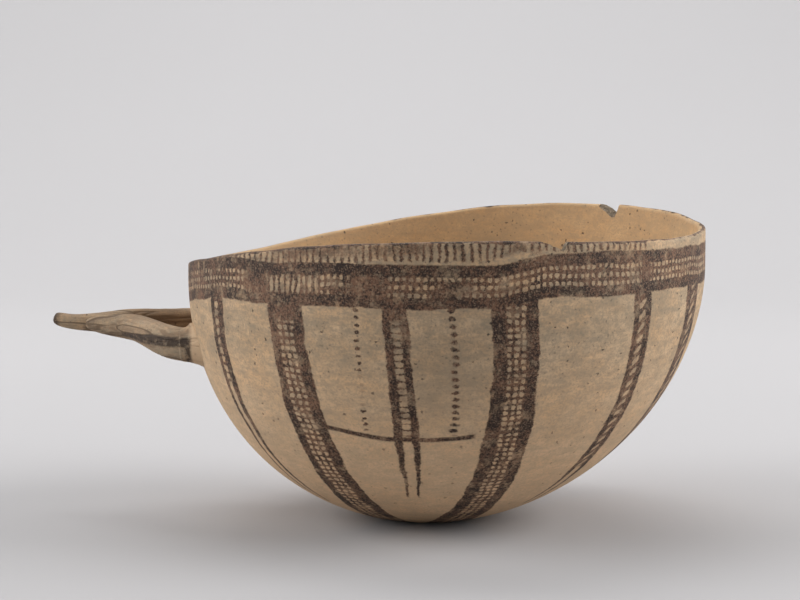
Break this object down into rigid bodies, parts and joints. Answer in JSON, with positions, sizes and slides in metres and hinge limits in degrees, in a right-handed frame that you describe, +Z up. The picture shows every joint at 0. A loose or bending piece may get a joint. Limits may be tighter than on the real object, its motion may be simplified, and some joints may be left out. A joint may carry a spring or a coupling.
{
  "type": "handled bowl",
  "caption": "Round-bottomed hand-built ceramic bowl with a wishbone handle at its side, coated in pale slip and painted with dark lattice bands and ladders.",
  "frame": {"origin": "centre of the flat spot that the bowl stands on", "axes": "+Z up through the open mouth; -X along the handle; -Y the side that the picture shows"},
  "size_m": [0.2326, 0.18, 0.1068],
  "materials": {
    "fired_clay": "matte",
    "painted_slip": "matte",
    "plain_slip": "matte",
    "handle_clay": "matte"
  },
  "bodies": {
    "root": {"bowl_body": "fired_clay", "outer_slip": "painted_slip", "inner_slip": "plain_slip", "front_handle_arm": "handle_clay", "back_handle_arm": "handle_clay", "front_root_collar": "handle_clay", "back_root_collar": "handle_clay", "front_tang_pad": "plain_slip", "back_tang_pad": "plain_slip"}
  },
  "joints": []
}
